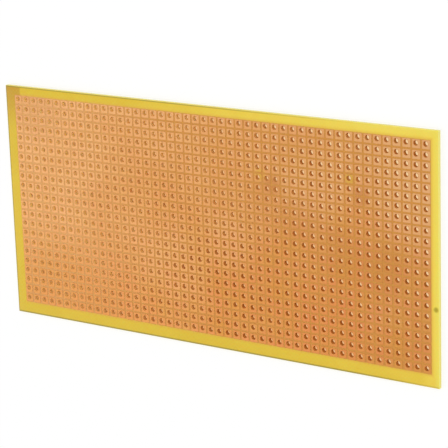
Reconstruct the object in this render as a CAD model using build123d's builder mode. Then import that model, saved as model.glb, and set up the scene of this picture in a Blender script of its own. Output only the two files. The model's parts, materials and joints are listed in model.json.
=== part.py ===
"""Single-sided prototype board: square copper pads on a thin laminate sheet.

The board lies flat with its copper side up. The origin is the centre of its
underside, X runs along its long side, Y along its short side, and Z points up.
Sizes are in millimetres.
"""

from build123d import *
import os

os.makedirs("parts", exist_ok=True)

# The drilled grid: tenth-inch spacing, as component leads need it
pitch = 2.54
columns = 48
rows = 22
hole_diameter = 1.2

# The copper: foil parted into square pads by etched lines
foil_thickness = 0.035
etched_line = 0.42

# The sheet: bare laminate stands outside the copper, wider on the left and in front
laminate_thickness = 1.0
border_left = 2.95
border_right = 2.05
border_front = 3.3
border_back = 2.4

# The drilling landed a little left of and behind the centres of the etched pads
drill_shift_x = -0.12
drill_shift_y = 0.15

# Pad field and sheet, worked out from the sizes above
pad_side = pitch - etched_line
grid_length = (columns - 1) * pitch
grid_width = (rows - 1) * pitch
board_length = border_left + grid_length + pad_side + border_right
board_width = border_front + grid_width + pad_side + border_back

# Centre of the pad field, seen from the centre of the board
field_x = (border_left - border_right) / 2
field_y = (border_front - border_back) / 2

# Laminate: one flat sheet with square-cut edges. The four outermost holes of
# the grid, which take pins or ties, are drilled right through it.
with BuildPart() as laminate:
    with BuildSketch():
        Rectangle(board_length, board_width)
        with Locations((field_x + drill_shift_x, field_y + drill_shift_y)):
            with GridLocations(grid_length, grid_width, 2, 2):
                Circle(hole_diameter / 2, mode=Mode.SUBTRACT)
    extrude(amount=laminate_thickness)
laminate.part.label = "laminate"
export_step(laminate.part, "parts/laminate.step")

# Copper pads: one node a row, from front to back, each pad a piece of foil of
# its own. The first and last pads of the outer rows share the corner holes.
for row in range(1, rows + 1):
    row_y = field_y - grid_width / 2 + (row - 1) * pitch
    with BuildPart() as pads:
        with BuildSketch(Plane((field_x, row_y, laminate_thickness))):
            with GridLocations(pitch, pitch, columns, 1):
                Rectangle(pad_side, pad_side)
            if row in (1, rows):
                with Locations((drill_shift_x, drill_shift_y)):
                    with GridLocations(grid_length, pitch, 2, 1):
                        Circle(hole_diameter / 2, mode=Mode.SUBTRACT)
        extrude(amount=foil_thickness)
    pads.part.label = f"pads_row_{row:02d}"
    export_step(pads.part, f"parts/pads_row_{row:02d}.step")
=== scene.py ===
# %% [markdown]
# # A bare prototype board
#
# The board is a thin sheet of yellow glass-epoxy laminate. One side carries
# square pads of copper foil on the tenth-inch grid, parted by etched lines,
# and every pad is drilled right through the sheet. It lies on a white table
# with its copper side up.
#
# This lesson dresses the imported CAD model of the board. The model gives the
# sheet, the rows of pads and four of the drilled holes. The finished pieces
# take their sizes and places from it, so they fit it without any adjustment.

import json
import math

import bmesh
import bpy
from mathutils import Matrix, Vector


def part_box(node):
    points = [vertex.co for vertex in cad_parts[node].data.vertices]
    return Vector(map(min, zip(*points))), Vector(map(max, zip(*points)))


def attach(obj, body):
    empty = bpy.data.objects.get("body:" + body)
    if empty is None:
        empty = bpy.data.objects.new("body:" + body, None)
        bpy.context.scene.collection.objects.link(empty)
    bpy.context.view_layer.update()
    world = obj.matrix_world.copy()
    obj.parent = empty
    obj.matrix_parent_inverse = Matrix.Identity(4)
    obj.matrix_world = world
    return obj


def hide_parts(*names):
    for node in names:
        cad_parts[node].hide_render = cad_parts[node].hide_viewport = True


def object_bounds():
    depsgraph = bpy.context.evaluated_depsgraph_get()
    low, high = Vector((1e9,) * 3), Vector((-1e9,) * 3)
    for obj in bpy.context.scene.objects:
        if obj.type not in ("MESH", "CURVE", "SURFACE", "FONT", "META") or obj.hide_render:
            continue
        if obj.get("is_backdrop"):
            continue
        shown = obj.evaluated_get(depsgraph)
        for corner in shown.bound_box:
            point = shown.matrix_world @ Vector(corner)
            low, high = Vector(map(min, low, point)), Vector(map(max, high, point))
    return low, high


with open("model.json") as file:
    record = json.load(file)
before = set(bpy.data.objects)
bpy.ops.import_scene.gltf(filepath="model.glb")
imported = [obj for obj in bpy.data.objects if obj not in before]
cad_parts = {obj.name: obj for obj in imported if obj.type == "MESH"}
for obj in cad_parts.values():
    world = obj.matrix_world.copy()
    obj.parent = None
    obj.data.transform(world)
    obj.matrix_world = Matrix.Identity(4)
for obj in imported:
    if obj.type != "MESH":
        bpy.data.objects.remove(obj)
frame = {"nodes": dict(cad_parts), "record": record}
cad_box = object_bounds()

# %% [markdown]
# ## The board's sizes
#
# The sheet's own box gives its outline and thickness. The first and last
# holes of the drilled grid are stated as mounts, so they give the hole's
# radius and the corners of the grid. Each row of pads is a node, so the
# number of those nodes and the distance between the corner holes give the
# spacing, and the spacing gives the number of columns.

# %% Sizes read from the model, in metres
sheet_low, sheet_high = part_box("laminate")
sheet_top = sheet_high.z
sheet_thickness = sheet_high.z - sheet_low.z

row_names = sorted(name for name in frame["nodes"] if name.startswith("pads_row_"))
row_low, row_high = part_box(row_names[0])
pad_side = row_high.y - row_low.y
foil_thickness = row_high.z - row_low.z

mounts = {mount["name"]: mount for mount in frame["record"]["mounts"]}
first_mount = mounts["corner_hole_front_left"]
last_mount = mounts["corner_hole_back_right"]
hole_radius = first_mount["dims"]["r_mm"] / 1000
first_hole = Vector(first_mount["pos_m"])
last_hole = Vector(last_mount["pos_m"])

rows = len(row_names)
pitch = (last_hole.y - first_hole.y) / (rows - 1)
columns = round((last_hole.x - first_hole.x) / pitch) + 1
first_pad = Vector((row_low.x + pad_side / 2, row_low.y + pad_side / 2, sheet_top))
drill_shift = first_hole - first_pad

MM = 0.001
print(f"{columns} by {rows} holes, {pitch / MM:.2f} mm apart, "
      f"{2 * hole_radius / MM:.2f} mm wide, pads {pad_side / MM:.2f} mm")

# %% [markdown]
# ## Working by hand, in code
#
# Operators act on whatever is selected, and the loaded model comes in
# selected. Each piece therefore starts from an empty selection. Inside edit
# mode the points and edges to work on are picked by where they are, which is
# what a modeller does with a box selection.

# %% Helpers for selecting and entering a mesh
NEAR = 0.01 * MM
SMOOTH_ANGLE = math.radians(30)


def select_only(piece):
    """Leaves one object selected and active, in object mode."""
    if bpy.context.object and bpy.context.object.mode != "OBJECT":
        bpy.ops.object.mode_set(mode="OBJECT")
    bpy.ops.object.select_all(action="DESELECT")
    piece.select_set(True)
    bpy.context.view_layer.objects.active = piece


def pick(piece, part, where):
    """Selects the points or edges of the mesh in edit mode that where() accepts."""
    bpy.ops.mesh.select_mode(type="VERT" if part == "verts" else "EDGE")
    bpy.ops.mesh.select_all(action="DESELECT")
    mesh = bmesh.from_edit_mesh(piece.data)
    chosen = [item for item in getattr(mesh, part) if where(item)]
    for item in chosen:
        item.select_set(True)
    mesh.select_flush_mode()
    bmesh.update_edit_mesh(piece.data)
    return len(chosen)


def place_in_mesh(piece):
    """Moves an object's place into its mesh, so that the object sits at the origin."""
    select_only(piece)
    bpy.ops.object.transform_apply(location=True, rotation=True, scale=True)


def apply_all_modifiers(piece):
    """Applies the modifiers of a piece from the top down."""
    select_only(piece)
    for name in [modifier.name for modifier in piece.modifiers]:
        bpy.ops.object.modifier_apply(modifier=name)


def face_outwards(piece):
    """Turns all faces outwards and shades the piece smooth, apart from its sharp edges."""
    select_only(piece)
    bpy.ops.object.mode_set(mode="EDIT")
    bpy.ops.mesh.select_all(action="SELECT")
    bpy.ops.mesh.normals_make_consistent(inside=False)
    bpy.ops.object.mode_set(mode="OBJECT")
    bpy.ops.object.shade_smooth_by_angle(angle=SMOOTH_ANGLE)


# %% [markdown]
# ## One hole and its square of sheet
#
# A perforated sheet could be a slab with a thousand holes cut by booleans.
# That is slow and leaves long thin faces. The grid is regular, so one square
# of sheet with one round hole is modelled, and the rest are copies that meet
# it edge to edge.
#
# A grid primitive gives the square an outline of sixteen points. Its middle
# is deleted, a circle of sixteen points goes in, and bridging the two loops
# makes sixteen clean faces.

# %% The square of sheet around the first hole
RING_POINTS = 16


def open_outline_mesh(name, side, steps, centre):
    """Starts a flat square of faces, with steps of them along each side, in edit mode."""
    bpy.ops.object.select_all(action="DESELECT")
    bpy.ops.mesh.primitive_grid_add(
        x_subdivisions=steps, y_subdivisions=steps, size=side, location=centre)
    piece = bpy.context.object
    piece.name = name
    piece.data.name = name
    place_in_mesh(piece)
    bpy.ops.object.mode_set(mode="EDIT")
    bpy.ops.mesh.select_mode(type="VERT")
    return piece


def drill(piece, centre):
    """Adds the hole's circle to an outline with no faces, and bridges the two."""
    bpy.ops.mesh.primitive_circle_add(
        vertices=RING_POINTS, radius=hole_radius, fill_type="NOTHING", location=centre)
    bpy.ops.mesh.select_all(action="SELECT")
    bpy.ops.mesh.select_mode(type="EDGE")
    bpy.ops.mesh.bridge_edge_loops()
    bpy.ops.object.mode_set(mode="OBJECT")
    if piece.data.polygons[0].normal.z < 0:
        bpy.ops.object.mode_set(mode="EDIT")
        bpy.ops.mesh.select_all(action="SELECT")
        bpy.ops.mesh.flip_normals()
        bpy.ops.object.mode_set(mode="OBJECT")


cell_centre = Vector((first_hole.x, first_hole.y, sheet_top))
sheet = open_outline_mesh("laminate_sheet", pitch, RING_POINTS // 4, cell_centre)
bpy.ops.mesh.select_all(action="SELECT")
bpy.ops.mesh.region_to_loop()
bpy.ops.mesh.select_mode(type="VERT")
bpy.ops.mesh.select_all(action="INVERT")
bpy.ops.mesh.delete(type="VERT")
drill(sheet, cell_centre)
print("faces around one hole:", len(sheet.data.polygons))

# %% [markdown]
# ## The drilled sheet
#
# Two array modifiers repeat the square along the board and across it, and
# merge the points where neighbours meet. The plain border is then pulled out
# from the edges of this field to the sheet's outline, first along the board
# and then across it, so the corners fill themselves.
#
# Solidify gives the flat sheet its thickness. It walls every hole and every
# outer edge in one go, and the result is one closed solid.

# %% Repeat the square and pull out the border


def repeat(piece, count, step, merge):
    """Adds an array of count copies, a step apart, and merges neighbours if asked."""
    array = piece.modifiers.new("repeat", "ARRAY")
    array.count = count
    array.use_relative_offset = False
    array.use_constant_offset = True
    array.constant_offset_displace = step
    array.use_merge_vertices = merge
    array.merge_threshold = NEAR


def thicken(piece, thickness):
    """Gives a flat piece its thickness, down from where it lies."""
    solidify = piece.modifiers.new("thickness", "SOLIDIFY")
    solidify.thickness = thickness
    solidify.offset = -1


def pull_edge(piece, axis, limit):
    """Extrudes the outermost edges on one side of a flat piece as far as limit."""
    places = [point.co[axis] for point in piece.data.vertices]
    rim = max(places) if limit > 0 else min(places)
    bpy.ops.object.mode_set(mode="EDIT")
    pick(piece, "edges", lambda edge: all(
        abs(point.co[axis] - rim) < NEAR for point in edge.verts))
    step = [0.0, 0.0, 0.0]
    step[axis] = limit - rim
    bpy.ops.mesh.extrude_region_move(TRANSFORM_OT_translate={"value": step})
    bpy.ops.object.mode_set(mode="OBJECT")


repeat(sheet, columns, (pitch, 0, 0), merge=True)
repeat(sheet, rows, (0, pitch, 0), merge=True)
apply_all_modifiers(sheet)
for axis, limit in ((0, sheet_low.x), (0, sheet_high.x), (1, sheet_low.y), (1, sheet_high.y)):
    pull_edge(sheet, axis, limit)
thicken(sheet, sheet_thickness)
apply_all_modifiers(sheet)
print("sheet faces:", len(sheet.data.polygons))

# %% [markdown]
# ## The sawn edges
#
# A sheared or sawn sheet never ends in a perfect corner. A bevel of a few
# hundredths of a millimetre around the outline catches a thin line of light,
# which is what lets the eye read the edge at all.

# %% Break the outline's edges
EDGE_BREAK = 0.06 * MM
SHARP_ANGLE = math.radians(45)


def on_outline(point):
    """True for a point on the sheet's outer walls."""
    return (min(abs(point.co.x - sheet_low.x), abs(point.co.x - sheet_high.x)) < NEAR
            or min(abs(point.co.y - sheet_low.y), abs(point.co.y - sheet_high.y)) < NEAR)


def is_rim(edge):
    """True for a level edge between a broad face and an outer wall."""
    first, second = edge.verts
    level = abs(first.co.z - second.co.z) < NEAR
    sharp = edge.calc_face_angle(0) > SHARP_ANGLE
    return level and sharp and on_outline(first) and on_outline(second)


select_only(sheet)
bpy.ops.object.mode_set(mode="EDIT")
print("rim edges:", pick(sheet, "edges", is_rim))
bpy.ops.mesh.bevel(offset=EDGE_BREAK, segments=2, affect="EDGES")
face_outwards(sheet)

# %% [markdown]
# ## One copper pad
#
# Each pad is a square of foil whose corners the etching has rounded a
# little. The square starts with eight outline points, its four corners are
# bevelled to three points each, and that makes sixteen, the same as the
# hole, so the two loops bridge as the sheet's did. The corners lie 0.71 of a
# side from the middle and the points between them 0.5, which is how the
# corners are picked.
#
# The drill did not land quite on the middle of the etched pads, so the
# circle sits a little off the centre of each.

# %% The first pad
PAD_CORNER = 0.16 * MM
CORNERS_BEYOND = 0.6 * pad_side

pad_centre = first_pad.copy()
pad_centre.z = sheet_top + foil_thickness
pads = open_outline_mesh("copper_" + row_names[0], pad_side, 2, pad_centre)
pick(pads, "verts", lambda point: (point.co - pad_centre).length < NEAR)
bpy.ops.mesh.dissolve_verts()
pick(pads, "verts", lambda point: (point.co - pad_centre).length > CORNERS_BEYOND)
bpy.ops.mesh.bevel(offset=PAD_CORNER, segments=2, affect="VERTICES")
bpy.ops.mesh.select_all(action="SELECT")
bpy.ops.mesh.delete(type="ONLY_FACE")
drill(pads, Vector((first_hole.x, first_hole.y, pad_centre.z)))
print("faces of one pad:", len(pads.data.polygons))

# %% [markdown]
# ## Rows of pads
#
# A third array makes the row, with no merging, because each pad is an
# island of its own. Solidify gives it the thickness of the foil. The
# finished row is then copied, each copy with its own mesh, and each is moved
# one spacing further back than the last, inside that mesh.

# %% The first row and its copies
repeat(pads, columns, (pitch, 0, 0), merge=False)
thicken(pads, foil_thickness)
apply_all_modifiers(pads)
face_outwards(pads)

pad_rows = [pads]
for number, name in enumerate(row_names[1:], start=1):
    copy = pads.copy()
    copy.data = pads.data.copy()
    copy.name = copy.data.name = "copper_" + name
    bpy.context.collection.objects.link(copy)
    copy.location.y = number * pitch
    place_in_mesh(copy)
    pad_rows.append(copy)
print("rows:", len(pad_rows), "faces each:", len(pads.data.polygons))

# %% [markdown]
# ## Building materials from nodes
#
# The finishes are made from shader nodes alone. A few small helpers keep the
# node code short: they add a node and wire it, calculate, mix two colours by
# a mask, and fade a value in or out. A fade's own named value holds where it
# starts and where it ends, and sometimes also the results before and after.

# %% Helpers for node trees


def add_node(tree, kind, inputs=None, **settings):
    """Adds a node. An input is given by name or number, as a value or as a socket to wire."""
    made = tree.nodes.new(kind)
    for name, value in settings.items():
        setattr(made, name, value)
    for key, value in (inputs or {}).items():
        if isinstance(value, bpy.types.NodeSocket):
            tree.links.new(value, made.inputs[key])
        else:
            made.inputs[key].default_value = value
    return made


def calculate(tree, operation, *values, clamp=False):
    """Adds one Math node and returns its result."""
    return add_node(tree, "ShaderNodeMath", dict(enumerate(values)),
                    operation=operation, use_clamp=clamp).outputs[0]


def product(tree, first, second):
    """Multiplies two masks, or a mask by its strength."""
    return calculate(tree, "MULTIPLY", first, second)


def mix_colours(tree, mask, first, second):
    """Mixes two colours by a mask from 0 to 1, and returns the colour."""
    made = add_node(tree, "ShaderNodeMix", {0: mask, 6: first, 7: second},
                    data_type="RGBA", clamp_factor=True)
    return made.outputs[2]


def fade(tree, value, start, end, low=0.0, high=1.0):
    """Maps a value to low before start and high after end, smoothly in between."""
    made = add_node(tree, "ShaderNodeMapRange",
                    {"Value": value, "From Min": start, "From Max": end,
                     "To Min": low, "To Max": high},
                    interpolation_type="SMOOTHSTEP")
    return made.outputs["Result"]


def fade_out(tree, value, start, end, strength=1.0):
    """Returns a mask of the given strength before start, and of nothing after end."""
    return fade(tree, value, start, end, strength, 0.0)


def spot(tree, position, middle, core, reach):
    """Returns a round mask on the board's top: 1 within core of middle, 0 beyond reach."""
    away = add_node(tree, "ShaderNodeVectorMath", {0: position, 1: (*middle, sheet_top)},
                    operation="DISTANCE").outputs["Value"]
    return fade_out(tree, away, core, reach)


def new_group(name, inputs, outputs):
    """Starts a node group with named inputs and outputs of the given kinds."""
    group = bpy.data.node_groups.new(name, "ShaderNodeTree")
    for label, kind, value in inputs:
        socket = group.interface.new_socket(label, in_out="INPUT", socket_type=kind)
        if value is not None:
            socket.default_value = value
    for label, kind in outputs:
        group.interface.new_socket(label, in_out="OUTPUT", socket_type=kind)
    start = group.nodes.new("NodeGroupInput")
    end = group.nodes.new("NodeGroupOutput")
    return group, start.outputs, end.inputs


def use_group(tree, group, inputs):
    """Places a node group in a material and returns its outputs."""
    return add_node(tree, "ShaderNodeGroup", inputs, node_tree=group).outputs


def new_material(name):
    """Makes a material and returns it with its tree and its Principled shader."""
    material = bpy.data.materials.new(name)
    material.use_nodes = True
    tree = material.node_tree
    return material, tree, tree.nodes["Principled BSDF"]


def linear(red, green, blue):
    """Turns a colour as seen on a screen, from 0 to 255, into Blender's linear one."""
    channels = [value / 255 for value in (red, green, blue)]
    return (*(c / 12.92 if c <= 0.04045 else ((c + 0.055) / 1.055) ** 2.4
              for c in channels), 1.0)


# %% [markdown]
# ## Where on the board a point lies
#
# The finishes need to know where they are: how far from the middle of the
# nearest hole, and how far inside the nearest pad, the field of pads and the
# sheet. One node group works this out from the object's own coordinates by
# wrapping them at every spacing. It also gives each pad a random shade, as
# foil always varies a little from pad to pad.

# %% The grid group
field_low = Vector((row_low.x, row_low.y, sheet_top))
field_high = field_low + Vector(((columns - 1) * pitch + pad_side,
                                 (rows - 1) * pitch + pad_side, 0))


def depth_inside(tree, parts, low, high):
    """Returns how far a point lies inside a rectangle, less than nothing outside it."""
    gaps = []
    for name, near, far in (("X", low.x, high.x), ("Y", low.y, high.y)):
        gaps.append(calculate(tree, "SUBTRACT", parts[name], near))
        gaps.append(calculate(tree, "SUBTRACT", far, parts[name]))
    least = gaps[0]
    for gap in gaps[1:]:
        least = calculate(tree, "MINIMUM", least, gap)
    return least


grid_group, put_in, put_out = new_group(
    "Drilled grid",
    [("Position", "NodeSocketVector", None)],
    [("Hole distance", "NodeSocketFloat"), ("Inside pad", "NodeSocketFloat"),
     ("Inside field", "NodeSocketFloat"), ("Inside sheet", "NodeSocketFloat"),
     ("Pad shade", "NodeSocketFloat")])

from_first = add_node(grid_group, "ShaderNodeVectorMath",
                      {0: put_in["Position"], 1: (first_pad.x, first_pad.y, 0)},
                      operation="SUBTRACT").outputs[0]
in_steps = add_node(grid_group, "ShaderNodeVectorMath",
                    {0: from_first, 1: (1 / pitch, 1 / pitch, 0)},
                    operation="MULTIPLY").outputs[0]
half_up = add_node(grid_group, "ShaderNodeVectorMath",
                   {0: in_steps, 1: (0.5, 0.5, 0.5)}, operation="ADD").outputs[0]
cell = add_node(grid_group, "ShaderNodeVectorMath",
                {0: half_up}, operation="FLOOR").outputs[0]
offset = add_node(grid_group, "ShaderNodeVectorMath",
                  {0: in_steps, 1: cell}, operation="SUBTRACT").outputs[0]
offset_parts = add_node(grid_group, "ShaderNodeSeparateXYZ", {0: offset}).outputs

offset_x = calculate(grid_group, "MULTIPLY", offset_parts["X"], pitch)
offset_y = calculate(grid_group, "MULTIPLY", offset_parts["Y"], pitch)
furthest = calculate(grid_group, "MAXIMUM",
                     calculate(grid_group, "ABSOLUTE", offset_x),
                     calculate(grid_group, "ABSOLUTE", offset_y))
from_hole_x = calculate(grid_group, "SUBTRACT", offset_x, drill_shift.x)
from_hole_y = calculate(grid_group, "SUBTRACT", offset_y, drill_shift.y)
squares = calculate(grid_group, "ADD",
                    calculate(grid_group, "MULTIPLY", from_hole_x, from_hole_x),
                    calculate(grid_group, "MULTIPLY", from_hole_y, from_hole_y))
position_parts = add_node(grid_group, "ShaderNodeSeparateXYZ",
                          {0: put_in["Position"]}).outputs
for socket, value in (
        ("Hole distance", calculate(grid_group, "SQRT", squares)),
        ("Inside pad", calculate(grid_group, "SUBTRACT", pad_side / 2, furthest)),
        ("Inside field", depth_inside(grid_group, position_parts, field_low, field_high)),
        ("Inside sheet", depth_inside(grid_group, position_parts, sheet_low, sheet_high)),
        ("Pad shade", add_node(grid_group, "ShaderNodeTexWhiteNoise", {0: cell},
                               noise_dimensions="3D").outputs["Value"])):
    grid_group.links.new(value, put_out[socket])


def locate(tree):
    """Returns a material's place in the object, that place in parts, and the grid there."""
    place = add_node(tree, "ShaderNodeTexCoord").outputs["Object"]
    parts = add_node(tree, "ShaderNodeSeparateXYZ", {0: place}).outputs
    return place, parts, use_group(tree, grid_group, {"Position": place})


# %% [markdown]
# ## Uneven tone
#
# No real surface keeps one tone. A shared group mixes a broad, cloudy noise
# with a finer one and gives a mask from 0 to 1. The laminate uses it for
# thicker and thinner resin, and the copper for tarnish and mottle.

# %% The clouding group
FINE_TIMES = 9.0
CLOUD_CONTRAST = (0.36, 0.64)

cloud_group, put_in, put_out = new_group(
    "Clouding",
    [("Position", "NodeSocketVector", None), ("Size", "NodeSocketFloat", 12 * MM),
     ("Fine share", "NodeSocketFloat", 0.35)],
    [("Mask", "NodeSocketFloat")])
broad_scale = calculate(cloud_group, "DIVIDE", 1.0, put_in["Size"])
broad = add_node(cloud_group, "ShaderNodeTexNoise",
                 {"Vector": put_in["Position"], "Scale": broad_scale, "Detail": 3.0,
                  "Roughness": 0.55}).outputs[0]
fine = add_node(cloud_group, "ShaderNodeTexNoise",
                {"Vector": put_in["Position"],
                 "Scale": calculate(cloud_group, "MULTIPLY", broad_scale, FINE_TIMES),
                 "Detail": 2.0}).outputs[0]
blend = add_node(cloud_group, "ShaderNodeMix",
                 {0: put_in["Fine share"], 2: broad, 3: fine}).outputs[0]
cloud_group.links.new(fade(cloud_group, blend, *CLOUD_CONTRAST), put_out["Mask"])

# %% [markdown]
# ## Slow change across the board
#
# Some tones change slowly across the board, and these are painted light and shade. The back
# left of the copper is the palest, a painted sheen, and its front right the deepest. The
# plain border is painted brighter towards the lamp at the right and the back. A second shared
# group gives a mask that climbs slowly in one direction, with a little noise so that no
# straight front shows. Its Climb input says how much the mask would gain over a metre along
# and across the board, and Middle is the mask's value at the centre.

# %% The drift group
WAVER_SIZE = 28 * MM
WAVER_SPAN = (0.3, 0.7, -0.12, 0.12)

drift_group, put_in, put_out = new_group(
    "Slow drift",
    [("Position", "NodeSocketVector", None), ("Climb", "NodeSocketVector", None),
     ("Middle", "NodeSocketFloat", 0.5)],
    [("Mask", "NodeSocketFloat")])
climbed = add_node(drift_group, "ShaderNodeVectorMath",
                   {0: put_in["Position"], 1: put_in["Climb"]},
                   operation="DOT_PRODUCT").outputs["Value"]
climbed = calculate(drift_group, "ADD", climbed, put_in["Middle"])
waver = add_node(drift_group, "ShaderNodeTexNoise",
                 {"Vector": put_in["Position"], "Scale": 1 / WAVER_SIZE,
                  "Detail": 2.0}).outputs[0]
uneven = calculate(drift_group, "ADD", climbed,
                   fade(drift_group, waver, *WAVER_SPAN), clamp=True)
drift_group.links.new(uneven, put_out["Mask"])

# %% [markdown]
# ## Glass cloth
#
# The laminate is woven glass in clear yellow resin, and the cloth shows
# faintly from close by. Two rows of waves run at right angles, one for each
# way the yarn runs. Multiplied, they rise and dip in a chequer, as the yarns
# of a plain weave do.

# %% The cloth group
YARN_SPACING = 0.55 * MM

cloth_group, put_in, put_out = new_group(
    "Glass cloth",
    [("Position", "NodeSocketVector", None), ("Spacing", "NodeSocketFloat", YARN_SPACING)],
    [("Yarn", "NodeSocketFloat")])
turns = calculate(cloth_group, "DIVIDE", math.pi, put_in["Spacing"])
cloth_parts = add_node(cloth_group, "ShaderNodeSeparateXYZ",
                       {0: put_in["Position"]}).outputs
waves = [calculate(cloth_group, "SINE", product(cloth_group, cloth_parts[name], turns))
         for name in ("X", "Y")]
over_under = product(cloth_group, *waves)
cloth_group.links.new(calculate(cloth_group, "MULTIPLY_ADD", over_under, 0.5, 0.5),
                      put_out["Yarn"])

# %% [markdown]
# ## The laminate
#
# Light enters the sheet and comes out again beside the point where it went
# in, so the plain border glows a clear yellow. A little subsurface
# scattering gives that. The colour itself is laid on in layers, each through
# a mask that says where it lies. The tones come first.

# %% The laminate's tones
BORDER_YELLOW = linear(238, 209, 76)
BORDER_AMBER = linear(219, 185, 38)
LEMON_EDGE_GLOW = linear(236, 219, 93)
COPPER_SHADE_AMBER = linear(222, 170, 62)
CORNER_AMBER = linear(196, 148, 36)
EDGE_SHADE_OLIVE = linear(154, 140, 56)
SPECK_OLIVE = linear(168, 148, 34)
ETCHED_PALE = linear(223, 163, 94)
ETCHED_FRONT = linear(217, 154, 83)
ETCHED_BROWN = linear(207, 141, 58)
WALL_PALE_LIT = linear(252, 210, 134)
WALL_BROWN_SHADED = linear(210, 134, 50)
SAWN_PALE_AND_LIT = linear(238, 226, 126)
PAD_SEEN_THROUGH = linear(196, 140, 48)

# %% [markdown]
# Next come the coordinates and the shared effects: the grid, the clouds in
# the resin, the yarns of the cloth, and two slow drifts, one for the border
# and one for the drilled walls. Several tones follow an edge of the sheet,
# so the distances from its four sides are worked out here as well.

# %% The laminate's coordinates and shared effects
RESIN_CLOUDS = 22 * MM
RESIN_FINE_SHARE = 0.2
BORDER_CLIMB = (13.0, 16.0, 0.0)
BORDER_MIDDLE = 0.05
WALL_CLIMB = (8.0, -6.0, 0.0)
WALL_MIDDLE = 0.6

laminate_material, tree, shader = new_material("yellow_laminate")
place, place_parts, grid = locate(tree)
clouds = use_group(tree, cloud_group,
                   {"Position": place, "Size": RESIN_CLOUDS, "Fine share": RESIN_FINE_SHARE})
border_drift = use_group(tree, drift_group,
                         {"Position": place, "Climb": BORDER_CLIMB, "Middle": BORDER_MIDDLE})
wall_light_drift = use_group(tree, drift_group,
                       {"Position": place, "Climb": WALL_CLIMB, "Middle": WALL_MIDDLE})
cloth = use_group(tree, cloth_group, {"Position": place})

from_left = calculate(tree, "SUBTRACT", place_parts["X"], sheet_low.x)
from_right = calculate(tree, "SUBTRACT", sheet_high.x, place_parts["X"])
from_front = calculate(tree, "SUBTRACT", place_parts["Y"], sheet_low.y)
from_back = calculate(tree, "SUBTRACT", sheet_high.y, place_parts["Y"])

# %% [markdown]
# A mask is a distance faded over a short stretch, so it is 1 where its tone
# lies and 0 where it does not. Two masks multiplied give the places where
# both hold, such as close to an edge and towards one end.
#
# A thin olive line just inside the outline is painted shade along the edge. It grows faint
# towards the right end and is strongest along the front. A block at the back left corner is
# stained.

# %% Masks of the laminate
FIELD_RIM = (-0.25 * MM, 0.1 * MM)
UNDER_PAD = (-0.1 * MM, 0.02 * MM)
WALL_RIM = (hole_radius + 0.01 * MM, hole_radius + 0.05 * MM)
CUT_FACE = (0.01 * MM, 0.08 * MM)
BARE_SIDE = (0.02 * MM, 0.08 * MM)

in_field = fade(tree, grid["Inside field"], *FIELD_RIM)
near_pad = fade(tree, grid["Inside pad"], *UNDER_PAD)
at_wall = product(tree, in_field, fade_out(tree, grid["Hole distance"], *WALL_RIM))
at_edge = fade_out(tree, grid["Inside sheet"], *CUT_FACE)
under = fade_out(tree, place_parts["Z"], *BARE_SIDE)

STAIN_WIDTH = 5.0 * MM
STAIN_BLUR = 0.7 * MM
STAIN_LENGTH = 14 * MM
STAIN_STRENGTH = 0.85

stain = product(
    tree, fade_out(tree, from_left, STAIN_WIDTH - STAIN_BLUR, STAIN_WIDTH, STAIN_STRENGTH),
    fade_out(tree, from_back, 0.0, STAIN_LENGTH))

EDGE_SHADE_WIDTH = 0.45 * MM
EDGE_SHADE_STRENGTH = 0.7
EDGE_SHADE_FADES = (5 * MM, 75 * MM)
FRONT_STRENGTH = 0.9
FRONT_FADES = (0.0, 25 * MM)
FRONT_LEFT_OVER = 0.4

# Painted shade: a thin olive line inside the outline, strongest along the front and faint at
# the right end.
painted_edge_shade = product(
    tree, fade_out(tree, grid["Inside sheet"], 0.5 * EDGE_SHADE_WIDTH, EDGE_SHADE_WIDTH, EDGE_SHADE_STRENGTH),
    fade(tree, from_right, *EDGE_SHADE_FADES))
painted_front_shade = product(
    tree, fade_out(tree, from_front, 0.5 * EDGE_SHADE_WIDTH, 1.3 * EDGE_SHADE_WIDTH, FRONT_STRENGTH),
    fade(tree, from_right, *FRONT_FADES, FRONT_LEFT_OVER, 1.0))
painted_edge_shade = calculate(tree, "MAXIMUM", painted_edge_shade, painted_front_shade)

# %% [markdown]
# The border is layered from the base up. It is amber towards the left and the front and
# yellow towards the right and the back. This is painted light from the lamp's side over a
# cloudy resin tone, and it is painted brightest in a strip at the right. The right edge and
# the right part of the back edge are painted with a clear lemon glow, as light coming through
# the sheet. Beside the copper the border is deeper, a painted shade of the copper in the
# sheet, except on the left. Then come the stained corner, the faint yarns, the painted shade
# along the edge, and one olive speck on the right border.

# %% The border's layers
CLOUD_SHARE = 0.25
DRIFT_SHARE = 0.75
LIT_STRIP = (2 * MM, 5 * MM)
LIT_STRIP_STRENGTH = 0.35

# Painted light: the border is brighter towards the lamp at the right and the back, and in a
# strip at the right edge, over a cloudy resin tone.
resin_and_painted_light = calculate(tree, "MULTIPLY_ADD", clouds["Mask"], CLOUD_SHARE,
                      product(tree, border_drift["Mask"], DRIFT_SHARE))
resin_and_painted_light = calculate(tree, "ADD", resin_and_painted_light,
                      fade_out(tree, from_right, *LIT_STRIP, LIT_STRIP_STRENGTH))
colour = mix_colours(tree, resin_and_painted_light, BORDER_AMBER, BORDER_YELLOW)

BACK_GLOW = (0.2 * MM, 2.4 * MM)
BACK_STRENGTH = 0.65
BACK_LENGTH = 60 * MM
RIGHT_GLOW = (0.2 * MM, 1.6 * MM)
RIGHT_STRENGTH = 0.8

# Painted light: a clear lemon glow along the right edge and the right part of the back edge.
back_glow = product(tree, fade_out(tree, from_back, *BACK_GLOW, BACK_STRENGTH),
                    fade_out(tree, from_right, 0.0, BACK_LENGTH))
right_glow = fade_out(tree, from_right, *RIGHT_GLOW, RIGHT_STRENGTH)
painted_edge_glow = calculate(tree, "MAXIMUM", back_glow, right_glow)
colour = mix_colours(tree, painted_edge_glow, colour, LEMON_EDGE_GLOW)

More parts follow.
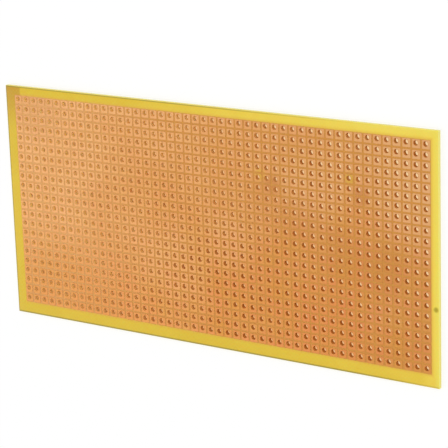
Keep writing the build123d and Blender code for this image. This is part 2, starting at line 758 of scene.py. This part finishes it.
BESIDE_COPPER = (-0.9 * MM, -0.1 * MM)
BESIDE_STRENGTH = 0.55
LEFT_BORDER = (2.4 * MM, 3.2 * MM)

# Painted shade: the border is deeper beside the copper, which shades the sheet, except on the
# left.
beside = product(
    tree, fade(tree, grid["Inside field"], *BESIDE_COPPER, 0.0, BESIDE_STRENGTH),
    fade(tree, from_left, *LEFT_BORDER))
colour = mix_colours(tree, beside, colour, COPPER_SHADE_AMBER)
colour = mix_colours(tree, stain, colour, CORNER_AMBER)

YARN_STRENGTH = 0.06
SPECK_PLACE = (62.5 * MM, -11.5 * MM)
SPECK_WIDTH = 1.3 * MM
SPECK_STRENGTH = 0.85

yarns = product(tree, cloth["Yarn"], YARN_STRENGTH)
colour = mix_colours(tree, yarns, colour, SAWN_PALE_AND_LIT)
colour = mix_colours(tree, painted_edge_shade, colour, EDGE_SHADE_OLIVE)
speck = spot(tree, place, SPECK_PLACE, 0.2 * SPECK_WIDTH, 0.7 * SPECK_WIDTH)
colour = mix_colours(tree, product(tree, speck, SPECK_STRENGTH), colour, SPECK_OLIVE)

# %% [markdown]
# Between the pads the copper shades the sheet from both sides, so the etched
# lines look deeper and browner, though less so towards the left end and
# least at its back. From the bare side the pads show through the sheet as a
# deeper tone, and the lines between them keep the colour of the border.
#
# The drilled walls are torn fibre and resin, and their tone is painted light and shade: pale
# at the left end and brown towards the right and the front. The cut faces around the outline
# are dry and pale, and their pale is partly a painted light.

# %% The etched lines, the walls and the bare side
PAD_STRENGTH = 0.8
ETCHED_ALONG = (-52 * MM, -6 * MM)
ETCHED_ACROSS = (-26 * MM, -10 * MM)

seen_through = mix_colours(tree, product(tree, near_pad, PAD_STRENGTH),
                           colour, PAD_SEEN_THROUGH)
etched = mix_colours(tree, fade(tree, place_parts["Y"], *ETCHED_ACROSS),
                     ETCHED_FRONT, ETCHED_PALE)
etched = mix_colours(tree, fade(tree, place_parts["X"], *ETCHED_ALONG),
                     etched, ETCHED_BROWN)
field_colour = mix_colours(tree, under, etched, seen_through)
colour = mix_colours(tree, in_field, colour, field_colour)
# The cut faces are pale fibre, painted paler still as lit faces.
colour = mix_colours(tree, at_edge, colour, SAWN_PALE_AND_LIT)
# Painted light and shade: the walls are paler at the left end and browner towards the right
# and the front.
wall = mix_colours(tree, fade(tree, wall_light_drift["Mask"], 0.0, 1.0), WALL_PALE_LIT, WALL_BROWN_SHADED)
colour = mix_colours(tree, at_wall, colour, wall)
tree.links.new(colour, shader.inputs["Base Color"])

# %% [markdown]
# The resin is smooth but not polished, and a little uneven. Cut faces are
# rough. The cloth stands out by a hundredth of a millimetre at most, which
# is a job for a bump and not for the mesh.

# %% The laminate's shine and relief
RESIN_ROUGHNESS = (0.34, 0.46)
CUT_ROUGHNESS = 0.75
YARN_HEIGHT = 0.01 * MM

resin = fade(tree, clouds["Mask"], 0.0, 1.0, *RESIN_ROUGHNESS)
cut = product(tree, calculate(tree, "MAXIMUM", at_wall, at_edge), CUT_ROUGHNESS)
tree.links.new(calculate(tree, "MAXIMUM", resin, cut), shader.inputs["Roughness"])
relief = add_node(tree, "ShaderNodeBump",
                  {"Height": cloth["Yarn"], "Strength": 0.25, "Distance": YARN_HEIGHT})
tree.links.new(relief.outputs["Normal"], shader.inputs["Normal"])
shader.inputs["IOR"].default_value = 1.5
shader.inputs["Specular IOR Level"].default_value = 0.25
shader.inputs["Subsurface Weight"].default_value = 0.25
shader.inputs["Subsurface Radius"].default_value = (1.0, 0.6, 0.15)
shader.inputs["Subsurface Scale"].default_value = 0.8 * MM
print(laminate_material.name, "has", len(tree.nodes), "nodes")

# %% [markdown]
# ## The copper
#
# The foil is bare and has been handled, so it is a satin metal, neither
# bright nor dull. Again the tones come first.

# %% The copper's tones
COPPER_PALE = linear(226, 176, 124)
COPPER_DEEP = linear(206, 141, 75)
COPPER_RED = linear(222, 132, 82)
COPPER_OLIVE = linear(211, 148, 64)
COPPER_GREEN = linear(206, 162, 62)
COPPER_STAINED = linear(182, 112, 58)
COPPER_RIM = linear(190, 120, 64)

# %% [markdown]
# The base goes from pale to deep by a sum of four things: the slow drift across the board,
# which is a painted sheen, palest at the back left; one broad deeper patch; a cloudy tarnish;
# and a shade of its own for each pad. A small mottle between reddish and golden lies over
# that, strongest towards the front right, where the drift is deepest.

# %% The copper's base
COPPER_CLIMB = (4.0, -13.0, 0.0)
PATCH_PLACE = (8 * MM, 16 * MM)
PATCH_CORE = 8 * MM
PATCH_REACH = 62 * MM
TARNISH_SIZE = 14 * MM
TARNISH_FINE_SHARE = 0.4
MOTTLE_SIZE = 5 * MM
MOTTLE_FINE_SHARE = 0.3
SHEEN_SHARE = 0.75
PATCH_SHARE = 0.22
TARNISH_SHARE = 0.14
PAD_SHARE = 0.10
MOTTLE_BY_DRIFT = (0.2, 1.0, 0.12, 0.5)

copper_material, tree, shader = new_material("bare_copper")
place, place_parts, grid = locate(tree)
tarnish = use_group(tree, cloud_group, {"Position": place, "Size": TARNISH_SIZE,
                                        "Fine share": TARNISH_FINE_SHARE})
mottle = use_group(tree, cloud_group, {"Position": place, "Size": MOTTLE_SIZE,
                                       "Fine share": MOTTLE_FINE_SHARE})
sheen_drift = use_group(tree, drift_group, {"Position": place, "Climb": COPPER_CLIMB})
patch = spot(tree, place, PATCH_PLACE, PATCH_CORE, PATCH_REACH)

# Painted sheen: the drift makes the copper palest at the back left and deepest at the front
# right, and the patch, tarnish and pad tones are added to it.
shade = product(tree, sheen_drift["Mask"], SHEEN_SHARE)
for mask, part in ((patch, PATCH_SHARE), (tarnish["Mask"], TARNISH_SHARE),
                   (grid["Pad shade"], PAD_SHARE)):
    shade = calculate(tree, "MULTIPLY_ADD", mask, part, shade)
colour = mix_colours(tree, shade, COPPER_PALE, COPPER_DEEP)
tint = mix_colours(tree, mottle["Mask"], COPPER_OLIVE, COPPER_RED)
colour = mix_colours(tree, fade(tree, sheen_drift["Mask"], *MOTTLE_BY_DRIFT), colour, tint)

# %% [markdown]
# Handling has left marks of its own: a redder, deeper front, a stain at the back left, some
# paler patches, a duller band, and two greenish pads, each with a brown stain beside it. The
# broad pale spot at the right end is no mark but painted light, where the lamp brightens the
# pads. Each mark is a soft round spot. The list gives the place of its middle along and
# across the board and its reach, in millimetres, then its colour and its strength.

# %% Marks of handling, and one spot of painted light
MARK_CORE = 0.3
MARKS = ((-54, 26, 13, COPPER_STAINED, 0.25),
         (-34, -24, 20, COPPER_RED, 0.25),
         (-45, -27, 28, COPPER_DEEP, 0.55),
         (-10, -11, 13, COPPER_PALE, 0.30),
         (32, -25, 20, COPPER_RED, 0.30),
         (5, -3.5, 10, COPPER_PALE, 0.35),
         (31, 15, 13, COPPER_PALE, 0.40),
         # Painted light at the right end, where the pads look brighter near the lamp.
         (60, 17, 22, COPPER_PALE, 0.60),
         (17, 9, 9, COPPER_STAINED, 0.15),
         (26, 5, 9, COPPER_STAINED, 0.20),
         (38, -1, 9, COPPER_STAINED, 0.20),
         (49, -4, 9, COPPER_STAINED, 0.25),
         (15.0, 15.4, 2.2, COPPER_GREEN, 0.65),
         (40.0, 17.0, 2.4, COPPER_GREEN, 0.75),
         (18.4, 13.1, 3.2, COPPER_STAINED, 0.45),
         (42.9, 13.0, 3.2, COPPER_STAINED, 0.45))

for x, y, reach, mark, strength in MARKS:
    seen = spot(tree, place, (x * MM, y * MM), MARK_CORE * reach * MM, reach * MM)
    colour = mix_colours(tree, product(tree, seen, strength), colour, mark)
print(len(MARKS), "marks of handling")

# %% [markdown]
# The rims of pads and holes are deeper where the etching and the drill left
# them, and the hole's rim a little less so towards the left end. A fine
# grain lies along the board, because foil is made as a long rolled sheet,
# and the drill has raised a slight burr around each hole.

# %% The copper's rims, shine and relief
PAD_RIM = (0.02 * MM, 0.12 * MM)
PAD_RIM_DEPTH = 0.35
HOLE_RIM = (hole_radius + 0.02 * MM, hole_radius + 0.12 * MM)
HOLE_RIM_DEPTH = (-60 * MM, -25 * MM, 0.45, 0.7)
GRAIN_STRETCH = (1.0, 14.0, 1.0)
GRAIN_WIDTH = 1.2 * MM
GRAIN_SPAN = (0.3, 0.7)
GRAIN_SHARE = 0.15
FOIL_ROUGHNESS = (0.36, 0.50)
BURR_WIDTH = 0.1 * MM
BURR_HEIGHT = 0.02 * MM

pad_rim = product(tree, fade_out(tree, grid["Inside pad"], *PAD_RIM), PAD_RIM_DEPTH)
hole_rim = product(tree, fade_out(tree, grid["Hole distance"], *HOLE_RIM),
                   fade(tree, place_parts["X"], *HOLE_RIM_DEPTH))
rims = calculate(tree, "MAXIMUM", pad_rim, hole_rim)
colour = mix_colours(tree, rims, colour, COPPER_RIM)
tree.links.new(colour, shader.inputs["Base Color"])

grain_place = add_node(tree, "ShaderNodeMapping",
                       {"Vector": place, "Scale": GRAIN_STRETCH}).outputs[0]
grain = add_node(tree, "ShaderNodeTexNoise",
                 {"Vector": grain_place, "Scale": 1 / GRAIN_WIDTH, "Detail": 3.0}).outputs[0]
roughness = fade(tree, grain, *GRAIN_SPAN, *FOIL_ROUGHNESS)
tree.links.new(roughness, shader.inputs["Roughness"])
burr = fade_out(tree, grid["Hole distance"], hole_radius, hole_radius + BURR_WIDTH)
surface = calculate(tree, "MULTIPLY_ADD", grain, GRAIN_SHARE, burr)
relief = add_node(tree, "ShaderNodeBump",
                  {"Height": surface, "Strength": 0.5, "Distance": BURR_HEIGHT})
tree.links.new(relief.outputs["Normal"], shader.inputs["Normal"])
shader.inputs["Metallic"].default_value = 1.0
print(copper_material.name, "has", len(tree.nodes), "nodes")

# %% [markdown]
# ## Handing the pieces to the frame
#
# Each piece gets its finish, rides on the board's one body and replaces the plain part of the
# model that it stands for, which is hidden.

# %% Dress every piece


def hand_over(piece, node, material):
    piece.data.materials.clear()
    piece.data.materials.append(material)
    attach(piece, "root")
    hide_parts(node)


hand_over(sheet, "laminate", laminate_material)
for piece, name in zip(pad_rows, row_names):
    hand_over(piece, name, copper_material)
print(1 + len(pad_rows), "pieces dressed")

# %% [markdown]
# ## The table and the white ground
#
# The board lies on a plain white table. Seen by the camera, most of the table's white is its
# own glow, so the ground stays white whatever the lamps do, and the rest is ordinary diffuse
# white, which keeps the board's shadow. Mirror-like and clear surfaces see the same white
# ground. Under the board more of the table is glow, and its colour there is painted light and
# shade, standing for the light that comes through the yellow sheet. What shows in the holes
# is brown at the left end and cream at the back right, nearest the lamp.

# %% The table
TABLE_SIZE = 3.0
GLOW_SHARES = (0.60, 0.85)
COVER = (0.0, 0.5 * MM)
BROWN_TO_TAN = (-60 * MM, -22 * MM)
TAN_TO_CREAM = (-20 * MM, 74 * MM)
GROUND_WHITE = (1.0, 1.0, 1.0, 1.0)
GROUND_CREAM = linear(255, 217, 162)
GROUND_TAN = linear(240, 175, 110)
GROUND_BROWN = linear(188, 124, 68)
LAMP_SLANT = 0.9

bpy.ops.object.select_all(action="DESELECT")
bpy.ops.mesh.primitive_plane_add(size=TABLE_SIZE, location=(0, 0, sheet_low.z))
table = bpy.context.object
table.name = "table"
place_in_mesh(table)
table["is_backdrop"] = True

table_material, tree, shader = new_material("white_table")
shader.inputs["Base Color"].default_value = GROUND_WHITE
shader.inputs["Roughness"].default_value = 0.9
shader.inputs["Specular IOR Level"].default_value = 0.0
rays = add_node(tree, "ShaderNodeLightPath").outputs
seen = calculate(tree, "MAXIMUM", rays["Is Camera Ray"], calculate(
    tree, "MAXIMUM", rays["Is Glossy Ray"], rays["Is Transmission Ray"]))
place_parts, grid = locate(tree)[1:]
# Painted light and shade under the board: brown at the left end, then tan, then cream towards
# the lamp at the back right.
ground = mix_colours(tree, fade(tree, place_parts["X"], *BROWN_TO_TAN),
                     GROUND_BROWN, GROUND_TAN)
to_lamp = calculate(tree, "MULTIPLY_ADD", place_parts["Y"], LAMP_SLANT, place_parts["X"])
ground = mix_colours(tree, fade(tree, to_lamp, *TAN_TO_CREAM), ground, GROUND_CREAM)
covered = fade(tree, grid["Inside sheet"], *COVER)
ground = mix_colours(tree, covered, GROUND_WHITE, ground)
glow = add_node(tree, "ShaderNodeEmission", {"Color": ground, "Strength": 1.0})
share = fade(tree, grid["Inside sheet"], *COVER, *GLOW_SHARES)
mixed = add_node(tree, "ShaderNodeMixShader",
                 {0: product(tree, seen, share), 1: shader.outputs[0], 2: glow.outputs[0]})
tree.links.new(mixed.outputs[0], tree.nodes["Material Output"].inputs["Surface"])
table.data.materials.append(table_material)
print(table_material.name, "has", len(tree.nodes), "nodes")

# %% [markdown]
# ## Light
#
# A white sky lights everything evenly, at a level where a colour renders
# about as it is written, while the camera sees the sky itself at full white.
# One large soft lamp from the right and behind brightens that end of the
# border, and a broad panel on the left is what the copper mirrors towards
# the camera.

# %% The sky and two soft lamps
SKY_LEVEL = 0.82
KEY_PLACE = (0.45, 0.30, 0.60)
KEY_SIZE = 0.40
KEY_POWER = 1.1
PANEL_PLACE = (-0.60, -0.25, 0.50)
PANEL_SIZE = 0.60
PANEL_POWER = 0.9

world = bpy.data.worlds.new("white_sky")
world.use_nodes = True
bpy.context.scene.world = world
tree = world.node_tree
rays = add_node(tree, "ShaderNodeLightPath").outputs
level = calculate(tree, "MULTIPLY_ADD", rays["Is Camera Ray"], 1.0 - SKY_LEVEL, SKY_LEVEL)
background = tree.nodes["Background"]
background.inputs["Color"].default_value = GROUND_WHITE
tree.links.new(level, background.inputs["Strength"])


def soft_lamp(name, place, size, power):
    """Adds a square area lamp at place, turned to the middle of the board."""
    data = bpy.data.lights.new(name, "AREA")
    data.shape = "SQUARE"
    data.size = size
    data.energy = power
    lamp = bpy.data.objects.new(name, data)
    lamp.location = place
    lamp.rotation_euler = (-Vector(place)).to_track_quat("-Z", "Y").to_euler()
    bpy.context.collection.objects.link(lamp)
    print(f"{name}: {power} W, {Vector(place).length:.2f} m from the board's middle")


soft_lamp("key_lamp", KEY_PLACE, KEY_SIZE, KEY_POWER)
soft_lamp("copper_panel", PANEL_PLACE, PANEL_SIZE, PANEL_POWER)
bpy.context.scene.view_settings.view_transform = "Standard"

# %% [markdown]
# ## The camera
#
# The photograph was taken with a long lens from the board's right and
# somewhat from behind, looking down. The camera's place, the point that it
# looks at and its small roll were found by matching the board's corners and
# the lines of the grid.

# %% The camera
CAMERA_PLACE = Vector((272.9, 126.7, 387.5)) * MM
LOOK_POINT = Vector((3.72, 1.55, 0.5)) * MM
CAMERA_ROLL = math.radians(1.88)
LENS = 160.6
SENSOR = 36.0

look = (LOOK_POINT - CAMERA_PLACE).normalized()
side = look.cross(Vector((0, 1, 0))).normalized()
rise = side.cross(look)
turned = Matrix((side, rise, -look)).transposed() @ Matrix.Rotation(-CAMERA_ROLL, 3, "Z")
camera_data = bpy.data.cameras.new("photo_camera")
camera_data.sensor_width = SENSOR
camera_data.lens = LENS
camera_data.clip_start = 10 * MM
camera = bpy.data.objects.new("photo_camera", camera_data)
camera.matrix_world = Matrix.Translation(CAMERA_PLACE) @ turned.to_4x4()
bpy.context.collection.objects.link(camera)
bpy.context.scene.camera = camera
print(f"camera {(LOOK_POINT - CAMERA_PLACE).length / MM:.0f} mm from the board")

# %% [markdown]
# ## Finish
#
# Both boxes are printed, the model's and the dressed board's. The dressed
# board must be no larger than the model.

# %% Write the sizes and finish
dressed_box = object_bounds()
for name, (low, high) in (("model", cad_box), ("dressed", dressed_box)):
    sizes = [f"{size / MM:.3f}" for size in Vector(high) - Vector(low)]
    print(name, "box:", " by ".join(sizes), "mm")
